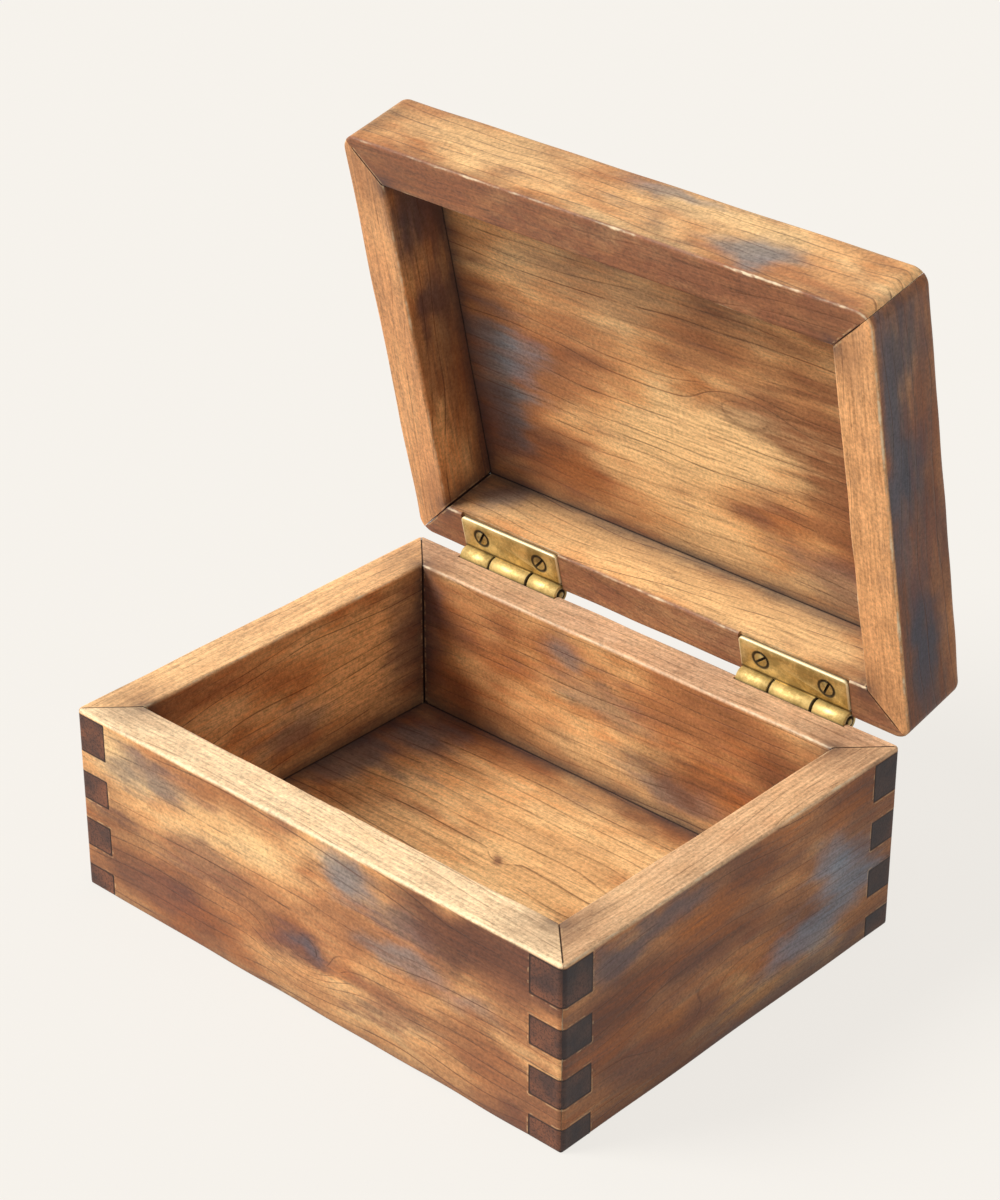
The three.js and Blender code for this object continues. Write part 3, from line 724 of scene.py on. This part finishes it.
points, quads = block_grid(places(bottom_low.x, bottom_high.x), places(bottom_low.y, bottom_high.y),
                           places(bottom_low.z, bottom_high.z))
# Near the walls, painted shade darkens the board's top.
to_wall = np.clip(to_sides(points, base_half_x - board_thick, base_half_y - board_thick), 0, None)
to_rebate = to_sides(points, bottom_high.x, bottom_high.y)
beneath = points[:, 2] < bottom_low.z + HAIR
marks = {"nook": np.where(beneath, NONE_NEAR, to_wall), "edge": np.full(len(points), NONE_NEAR),
         "seam": np.where(beneath, to_rebate, NONE_NEAR)}
bottom_wood = oiled_wood(
    "bottom_board_wood", 7.9, tone=-0.13, gap=0.0046, figures=[(mm(-1.7, 9, 10), mm(4, 3, 20), 0.004)],
    stains=on_face(AXIS_Z, floor_top, FLAT_STAIN_DEPTH, [
        (HONEY, 10, 15, 40, 24, 0.6), (PLUM, -1.7, 9, 2.6, 2.2, 0.7), (HONEY, -40, 0, 30, 15, 0.6),
        (STEEL_BLUE, -62, 38, 17, 14, 0.8), (STEEL_BLUE, -70, 16, 10, 26, 0.8), (RUST, -42, 36, 18, 8, 0.5)]))
wooden_piece("bottom_board", points, quads, "base", bottom_wood, ["bottom_board"], marks,
             FLAT_RELIEF, 31)

# Lid
# A deep mitred frame of the same wood round a thin panel, rounded over on top. The panel lies
# 20 mm inside the frame, and the frame's rim closes on the base's rim.
LID_CORNER = 0.005
LID_TOP_ROUND = 0.0025
PANEL_GAP = 0.0001
LID_STAIN_DEPTH = 0.009
LEFT_STAIN_DEPTH = 0.005
PANEL_STAIN_LEVEL = 0.079
# A dark blue used as painted shade on the lid's faces that turn from the lamp.
NAVY_SHADE = "#3B3F4C"


def lid_points(points, way=1):
    """Turns points of the closed lid to the standing lid about the hinge line, or back at way -1."""
    turn = -way * lid_turn
    off_y, off_z = points[:, 1] - hinge_line.y, points[:, 2] - hinge_line.z
    y = hinge_line.y + off_y * math.cos(turn) - off_z * math.sin(turn)
    z = hinge_line.z + off_y * math.sin(turn) + off_z * math.cos(turn)
    return np.stack([points[:, 0], y, z], axis=1)


def closed_points(name):
    """The corners of a lid node's mesh, once the lid is closed."""
    return lid_points(node_points(name), -1)


front_rail, back_rail = closed_points("lid_rail_front"), closed_points("lid_rail_back")
lid_front_y, lid_back_y = front_rail[:, 1].min(), back_rail[:, 1].max()
lid_half_x = -closed_points("lid_stile_left")[:, 0].min()
lid_half_y, lid_middle_y = (lid_back_y - lid_front_y) / 2, (lid_back_y + lid_front_y) / 2
lid_rim, lid_top = front_rail[:, 2].min(), front_rail[:, 2].max()
lid_thick = front_rail[:, 1].max() - lid_front_y
panel_inside = closed_points("lid_panel")[:, 2].min()
lid_leaves = [closed_points(f"hinge_leaf_lid_{side}") for side in ("left", "right")]
lid_plate = lid_leaves[0][lid_leaves[0][:, 1] < hinge_line.y - BARREL_REACH]

lid_woods = {
    "front": oiled_wood(
        "lid_front_wood", 6.4, lid=True, tone=-0.10, rim=(lid_rim, "#855338", 0.9),
        stains=on_face(AXIS_Y, lid_front_y, LID_STAIN_DEPTH, [
            (HONEY, -50, 72, 40, 12, 0.7), (HONEY, 40, 76, 30, 8, 0.7), (STEEL_BLUE, 50, 68, 13, 6, 0.8),
            (STEEL_BLUE, 10, 79, 20, 4, 0.65), (RUST, 80, 74, 9, 9, 0.6), (UMBER, -88, 70, 10, 14, 0.6),
            (UMBER, 0, 60, 90, 4, 0.35)])),
    # This stile's dark tone and navy stains are partly painted shade, for its outer face turns from the lamp.
    "right": oiled_wood(
        "lid_right_wood", 8.8, True, True, tone=0.24, rim=(lid_rim, "#EBAE76", 0.85),
        stains=on_face(AXIS_X, lid_half_x, LID_STAIN_DEPTH, [
            (NAVY_SHADE, -54, 71, 20, 16, 0.9), (NAVY_SHADE, -16, 68, 26, 9, 0.95), (PLUM, -30, 76, 16, 8, 0.8),
            (NAVY_SHADE, 38, 69, 26, 9, 0.9), (SIENNA, -36, 80, 22, 6, 0.7), (PLUM, 10, 72, 16, 12, 0.7),
            (SLATE, -30, 63, 60, 4, 0.7)])),
    "back": oiled_wood(
        "lid_back_wood", 12.6, lid=True, tone=-0.16, rim=(lid_rim, "#8A5B43", 0.85),
        stains=on_face(AXIS_Y, lid_back_y - lid_thick, LID_STAIN_DEPTH, [
            (HONEY, -14, 72, 52, 13, 0.95), (HONEY, 30, 68, 50, 9, 0.6), (STEEL_BLUE, -68, 72, 9, 8, 0.65)])),
    # The navy stains on this stile's inner face are painted shade.
    "left": oiled_wood(
        "lid_left_wood", 14.2, True, True, tone=0.03, rim=(lid_rim, "#DDA06C", 0.75),
        stains=on_face(AXIS_X, lid_thick - lid_half_x, LEFT_STAIN_DEPTH, [
            (NAVY_SHADE, -46, 68, 22, 14, 0.85), (SLATE, -14, 70, 14, 8, 0.85), (RUST, 22, 70, 20, 9, 0.6),
            (UMBER, -2, 66, 30, 12, 0.5)])),
}
lid_seat = {
    "in_face": False, "floor": lid_plate[:, 2].max() + FIT_GAP,
    "spans": [(-leaf[:, 0].max() - FIT_GAP, -leaf[:, 0].min() + FIT_GAP) for leaf in lid_leaves],
    "axis": (lid_back_y - hinge_line.y, hinge_line.z), "cove": BARREL_ROOM}
for quarter, side in enumerate(SIDES):
    half, reach = (lid_half_y, lid_half_x) if quarter % 2 else (lid_half_x, lid_half_y)
    points, quads, marks = frame_member(
        half, reach, lid_thick, lid_rim, lid_top, LID_CORNER, (ARRIS, ARRIS, LID_TOP_ROUND, 0.0), quarter,
        40 + quarter, panel_inside, seat=lid_seat if side == "back" else None)
    points[:, 1] += lid_middle_y
    member = "stile" if quarter % 2 else "rail"
    wooden_piece(f"lid_{side}", lid_points(points), quads, "lid", lid_woods[side],
                 [f"lid_{member}_{side}"], marks, RELIEF, 50 + quarter)

field_x, field_y = lid_half_x - lid_thick - PANEL_GAP, lid_half_y - lid_thick - PANEL_GAP
points, quads = block_grid(places(-field_x, field_x), places(lid_middle_y - field_y, lid_middle_y + field_y),
                           places(panel_inside, lid_top))
to_frame = to_sides(points, field_x, field_y, lid_middle_y)
under = points[:, 2] < panel_inside + HAIR
# On the panel's inside face, painted shade darkens it along the frame.
marks = {"nook": np.where(under, to_frame, NONE_NEAR), "edge": np.full(len(points), NONE_NEAR),
         "seam": np.where(under, NONE_NEAR, to_frame)}
# The dark stains along the panel's front edge are a painted shadow of the front rail, and the blue-greys at
# its left are painted shade beside the left stile.
panel_wood = oiled_wood(
    "lid_panel_wood", 9.6, lid=True, tone=-0.10, gap=0.0036,
    figures=[(mm(27, -7, 79), mm(15, 6, 20), 0.007)],
    stains=on_face(AXIS_Z, PANEL_STAIN_LEVEL, FLAT_STAIN_DEPTH, [
        (HONEY, -6, 24, 36, 20, 0.8), (PLUM, 34, -5, 20, 10, 0.55), (STEEL_BLUE, -66, 14, 12, 26, 0.85),
        (PALE_BLUE, -56, 6, 12, 14, 0.45), (SLATE, -70, 32, 12, 22, 0.65), (SLATE, 56, 44, 22, 12, 0.55),
        (RUST, -40, 40, 16, 9, 0.6), (PLUM, 0, -46, 60, 9, 0.4), (SIENNA, 62, 0, 28, 34, 0.95),
        (SIENNA, -6, -30, 80, 20, 0.6), (UMBER, 0, -52, 100, 13, 0.8)]))
wooden_piece("lid_panel", lid_points(points), quads, "lid", panel_wood, ["lid_panel"], marks,
             FLAT_RELIEF, 61)

# Hinges
# Two solid-drawn brass butt hinges with three knuckles each, let into the wood, on brass pins, and held by
# slotted countersunk screws. The brass has dulled to ochre; a painted highlight lies along each plate's outer
# end and sides, and grime and painted shade darken the gaps, slots and edges.
# A pale brass for the painted highlight on the plates' edges.
HIGHLIGHT_BRASS = "#FFF0C4"
# The dark of grime and painted shade in the brass's gaps and recesses.
BRASS_GRIME_AND_SHADE = "#20160C"
BRASS_SHARP_ANGLE = math.radians(32)
BRASS_WELD = 1e-6
BRASS_BUMP = 0.00012
KNUCKLE_RADIUS = 0.00302
HEAD_REACH = 0.00255
# Each pair is the distances between which a mark fades in or out: out from the pin's axis, or from
# the plate's face, a knuckle's end, a screw's middle, or inwards from the plate's edges.
PLATE_BAND = (0.0031, 0.0036)
ROOT_BAND = (0.0036, 0.0043)
BORE_BAND = (0.0018, 0.0021)
BARREL_BAND = (0.0031, 0.0033)
PIN_BAND = (0.0008, 0.0011)
SIDE_BAND = (0.0009, 0.0016)
JOINT_BAND = (0.0003, 0.00055)
HEAD_BAND = (HEAD_REACH + 0.0003, HEAD_REACH + 0.0008)
HEAD_RIM_BAND = (HEAD_REACH - 0.0006, HEAD_REACH - 0.0002)
SLOT_BAND = (0.0001, 0.0003)
END_HIGHLIGHT_BAND = (0.0007, 0.0003)
SIDE_HIGHLIGHT_BAND = (0.0006, 0.0003)


def on_leaf(points, body):
    """Places along the hinge, out from the pin's axis over the leaf, and down into the wood."""
    if body == "lid":
        points = lid_points(points, -1)
        return np.stack([points[:, 0], hinge_line.y - points[:, 1], points[:, 2] - hinge_line.z], axis=1)
    return np.stack([points[:, 0], hinge_line.z - points[:, 2], hinge_line.y - points[:, 1]], axis=1)


first_leaf = on_leaf(node_points("hinge_leaf_lid_left"), "lid")
first_screw = on_leaf(node_points("screw_lid_left_1"), "lid")
leaf_half = (first_leaf[:, 0].max() - first_leaf[:, 0].min()) / 2
leaf_middle = first_leaf[:, 0].min() + leaf_half
leaf_reach = first_leaf[:, 1].max()
screw_spot = (first_screw.min(axis=0) + first_screw.max(axis=0)) / 2
screw_along, screw_out = abs(screw_spot[0] - leaf_middle), screw_spot[1]
barrel = first_leaf[np.hypot(first_leaf[:, 1], first_leaf[:, 2]) < KNUCKLE_RADIUS]
knuckle_joint = np.abs(barrel[:, 0] - leaf_middle).max()


def far_from(tree, one, two):
    """The distance from a middle, from the places along two axes: the root of the sum of squares."""
    squares = do_math(tree, "MULTIPLY_ADD", one, one, do_math(tree, "MULTIPLY", two, two))
    return do_math(tree, "SQRT", squares)


def plate_highlight(tree, along, out):
    """A painted highlight along the plate's outer end and sides."""
    end = slide(tree, out, leaf_reach - END_HIGHLIGHT_BAND[0], leaf_reach - END_HIGHLIGHT_BAND[1])
    sides = slide(tree, do_math(tree, "ABSOLUTE", along), leaf_half - SIDE_HIGHLIGHT_BAND[0],
                  leaf_half - SIDE_HIGHLIGHT_BAND[1])
    on_plate = do_math(tree, "MULTIPLY", slide(tree, out, *PLATE_BAND), 0.8)
    return do_math(tree, "MULTIPLY", do_math(tree, "MAXIMUM", end, sides), on_plate)


def leaf_grime_and_shade(tree, along, out, depth):
    """Grime and painted shade round each screw head, on the plate's cut sides, at the barrel's root, round
    the pin's end and between the knuckles."""
    from_middle = do_math(tree, "ABSOLUTE", along)
    from_screw = far_from(tree, do_math(tree, "SUBTRACT", from_middle, screw_along),
                          do_math(tree, "SUBTRACT", out, screw_out))
    on_plate = slide(tree, out, *PLATE_BAND)
    side = do_math(tree, "MULTIPLY", slide(tree, depth, *SIDE_BAND, 0.0, 0.8), on_plate)
    root = do_math(tree, "MULTIPLY", on_plate, slide(tree, out, *ROOT_BAND, 0.8, 0.0))
    from_pin = far_from(tree, out, depth)
    bore = slide(tree, from_pin, *BORE_BAND, 0.9, 0.0)
    from_joint = do_math(tree, "ABSOLUTE", do_math(tree, "SUBTRACT", from_middle, knuckle_joint))
    ends = do_math(tree, "MULTIPLY", slide(tree, from_joint, *JOINT_BAND, 0.95, 0.0),
                   slide(tree, from_pin, *BARREL_BAND, 1.0, 0.0))
    grime_and_shade = slide(tree, from_screw, *HEAD_BAND, 0.9, 0.0)
    for mark in (side, root, bore, ends):
        grime_and_shade = do_math(tree, "MAXIMUM", grime_and_shade, mark)
    return grime_and_shade


def pin_grime_and_shade(tree, along, out, depth):
    """Grime and painted shade all round a pin but for the crown of its end."""
    return slide(tree, far_from(tree, out, depth), *PIN_BAND, 0.0, 0.9)


def screw_grime_and_shade(tree, along, out, depth):
    """Grime and painted shade round a screw head's rim and in its slot."""
    rim = slide(tree, far_from(tree, along, out), *HEAD_RIM_BAND, 0.0, 0.92)
    return do_math(tree, "MAXIMUM", rim, slide(tree, depth, *SLOT_BAND, 0.0, 0.95))


def aged_brass(name, bright, dull, roughness, grime_and_shade_on, highlight_on=None):
    """Brass whose colour and gloss drift between bright and dull in soft patches and fine specks. Each
    point's place on its own leaf, screw or pin says where a painted highlight lies and where grime and
    painted shade lie."""
    material, tree, shader, points = start_material(name)
    broad = noise(tree, points, 2.4, (170, 170, 170), 3.0, 0.6)
    specks = noise(tree, points, 6.8, (1500, 1500, 1500), 2.0, 0.6)
    share = slide(tree, do_math(tree, "MULTIPLY_ADD", specks, 0.35, broad), 0.48, 0.86)
    colour = blend(tree, share, bright, dull)
    place = add_node(tree, "ShaderNodeAttribute", attribute_name="place").outputs["Vector"]
    along, out, depth = split_axes(tree, place)
    # A painted highlight where one is given.
    if highlight_on:
        colour = blend(tree, highlight_on(tree, along, out), colour, HIGHLIGHT_BRASS)
    # Grime and painted shade in the gaps, slots and recesses.
    grime_and_shade = grime_and_shade_on(tree, along, out, depth)
    feed(tree, shader.inputs["Base Color"], blend(tree, grime_and_shade, colour, BRASS_GRIME_AND_SHADE))
    rough = do_math(tree, "MAXIMUM", slide(tree, share, 0.0, 1.0, roughness, roughness + 0.16),
                    do_math(tree, "MULTIPLY", grime_and_shade, 0.7))
    feed(tree, shader.inputs["Roughness"], rough)
    shader.inputs["Metallic"].default_value = 0.45
    bump_from(tree, shader, do_math(tree, "MULTIPLY_ADD", specks, 0.3, broad), 0.25, BRASS_BUMP)
    return material


def brass_piece(node, name, body, material, middle):
    """A copy of a CAD node with its loose triangles joined, smooth but for its true edges, that keeps
    each corner's place from the middle given."""
    joined = bmesh.new()
    joined.from_mesh(frame["nodes"][node].data)
    bmesh.ops.remove_doubles(joined, verts=joined.verts, dist=BRASS_WELD)
    mesh = bpy.data.meshes.new(name)
    joined.to_mesh(mesh)
    joined.free()
    mesh.polygons.foreach_set("use_smooth", np.ones(len(mesh.polygons), bool))
    mesh.set_sharp_from_angle(angle=BRASS_SHARP_ANGLE)
    spread = np.empty(len(mesh.vertices) * 3, np.float32)
    mesh.vertices.foreach_get("co", spread)
    place = on_leaf(spread.reshape(-1, 3).astype(float), body) - middle
    kept = mesh.attributes.new("place", "FLOAT_VECTOR", "POINT").data
    kept.foreach_set("vector", place.astype(np.float32).ravel())
    mesh.materials.clear()
    add_piece(name, mesh, body, material, [node])


leaf_brass = aged_brass("leaf_brass", "#E4C57E", "#A98F52", 0.42, leaf_grime_and_shade, plate_highlight)
fixing_brass = aged_brass("fixing_brass", "#CFB06C", "#8A7142", 0.40, screw_grime_and_shade)
pin_brass = aged_brass("pin_brass", "#E4C57E", "#A98F52", 0.36, pin_grime_and_shade)
for side, sign in (("left", -1), ("right", 1)):
    hinge_middle = np.array([sign * abs(leaf_middle), 0, 0])
    for body in ("base", "lid"):
        brass_piece(f"hinge_leaf_{body}_{side}", f"{side}_{body}_leaf", body, leaf_brass,
                    hinge_middle)
        for row in (1, 2):
            screw = on_leaf(node_points(f"screw_{body}_{side}_{row}"), body)
            screw_middle = (screw.min(axis=0) + screw.max(axis=0)) / 2
            screw_middle[2] = screw[:, 2].min()
            brass_piece(f"screw_{body}_{side}_{row}", f"{side}_{body}_screw_{row}", body,
                        fixing_brass, screw_middle)
    brass_piece(f"hinge_pin_{side}", f"{side}_hinge_pin", "base", pin_brass, hinge_middle)

# Stage
# A pale floor under soft light from the upper front left. The camera sees the floor a little lighter
# than the lamps make it, and the box's shadow stays on it.
BACKDROP = "#F7F3ED"
FLOOR_COLOUR = (0.80, 0.785, 0.74, 1.0)
FILL_COLOUR = (0.94, 0.97, 1.0, 1.0)
FLOOR_REACH = 3.0
FLOOR_LEVEL = -0.0001
SEEN_SHARE = 0.86

floor_mesh = bpy.data.meshes.new("floor")
floor_signs = ((-1, -1), (1, -1), (1, 1), (-1, 1))
floor_corners = [(x * FLOOR_REACH, y * FLOOR_REACH, FLOOR_LEVEL) for x, y in floor_signs]
floor_mesh.from_pydata(floor_corners, [], [(0, 1, 2, 3)])
floor = add_object("floor", floor_mesh)


def seen_or_mirrored(tree):
    """One for rays from the camera, off gloss or through glass, and zero for the rest."""
    paths = add_node(tree, "ShaderNodeLightPath")
    mirrored = do_math(tree, "MAXIMUM", paths.outputs["Is Glossy Ray"], paths.outputs["Is Transmission Ray"])
    return do_math(tree, "MAXIMUM", paths.outputs["Is Camera Ray"], mirrored)


def mix_shaders(tree, share, first, second):
    """The first shader with a share of the second in it."""
    node = add_node(tree, "ShaderNodeMixShader")
    for socket, value in zip(node.inputs, (share, first, second)):
        feed(tree, socket, value)
    return node.outputs[0]


floor_paint = bpy.data.materials.new("floor_paint")
floor_paint.use_nodes = True
tree = floor_paint.node_tree
shader = tree.nodes["Principled BSDF"]
shader.inputs["Base Color"].default_value = FLOOR_COLOUR
shader.inputs["Roughness"].default_value = 0.9
shader.inputs["Specular IOR Level"].default_value = 0.1
glow = add_node(tree, "ShaderNodeEmission")
glow.inputs["Color"].default_value = (*tint(BACKDROP), 1.0)
seen = do_math(tree, "MULTIPLY", seen_or_mirrored(tree), SEEN_SHARE)
feed(tree, tree.nodes["Material Output"].inputs["Surface"],
     mix_shaders(tree, seen, shader.outputs[0], glow.outputs[0]))
floor_mesh.materials.append(floor_paint)

world = bpy.data.worlds.new("studio")
world.use_nodes = True
tree = world.node_tree
fill = tree.nodes["Background"]
fill.inputs["Color"].default_value = FILL_COLOUR
fill.inputs["Strength"].default_value = 0.42
backdrop = add_node(tree, "ShaderNodeBackground")
backdrop.inputs["Color"].default_value = (*tint(BACKDROP), 1.0)
feed(tree, tree.nodes["World Output"].inputs["Surface"],
     mix_shaders(tree, seen_or_mirrored(tree), fill.outputs[0], backdrop.outputs[0]))
bpy.context.scene.world = world


def way(azimuth, elevation):
    """The direction from the box: azimuth 0 is straight in front and 90 at the right."""
    az, el = math.radians(azimuth), math.radians(elevation)
    return Vector((math.sin(az) * math.cos(el), -math.cos(az) * math.cos(el), math.sin(el)))


WINDOW_WAY = way(-44, 40)
lamp = bpy.data.lights.new("window_light", "SUN")
lamp.energy = 3.4
lamp.angle = math.radians(28)
lamp.color = (1.0, 0.97, 0.92)
window_light = add_object("window_light", lamp)
window_light.rotation_euler = WINDOW_WAY.to_track_quat("Z", "Y").to_euler()

# Camera
# It stands where a perspective fit to the photo's corners puts it.
CAMERA_WAY = way(42.52, 29.27)
CAMERA_FAR = 0.8463
CAMERA_TARGET = Vector((0.00584, 0.0, 0.10008))
lens = bpy.data.cameras.new("camera")
lens.lens = 95.35
lens.sensor_width = 36.0
camera = add_object("camera", lens)
camera.location = CAMERA_TARGET + CAMERA_WAY * CAMERA_FAR
camera.rotation_euler = CAMERA_WAY.to_track_quat("Z", "Y").to_euler()
bpy.context.scene.camera = camera
bpy.context.scene.view_settings.view_transform = "Standard"
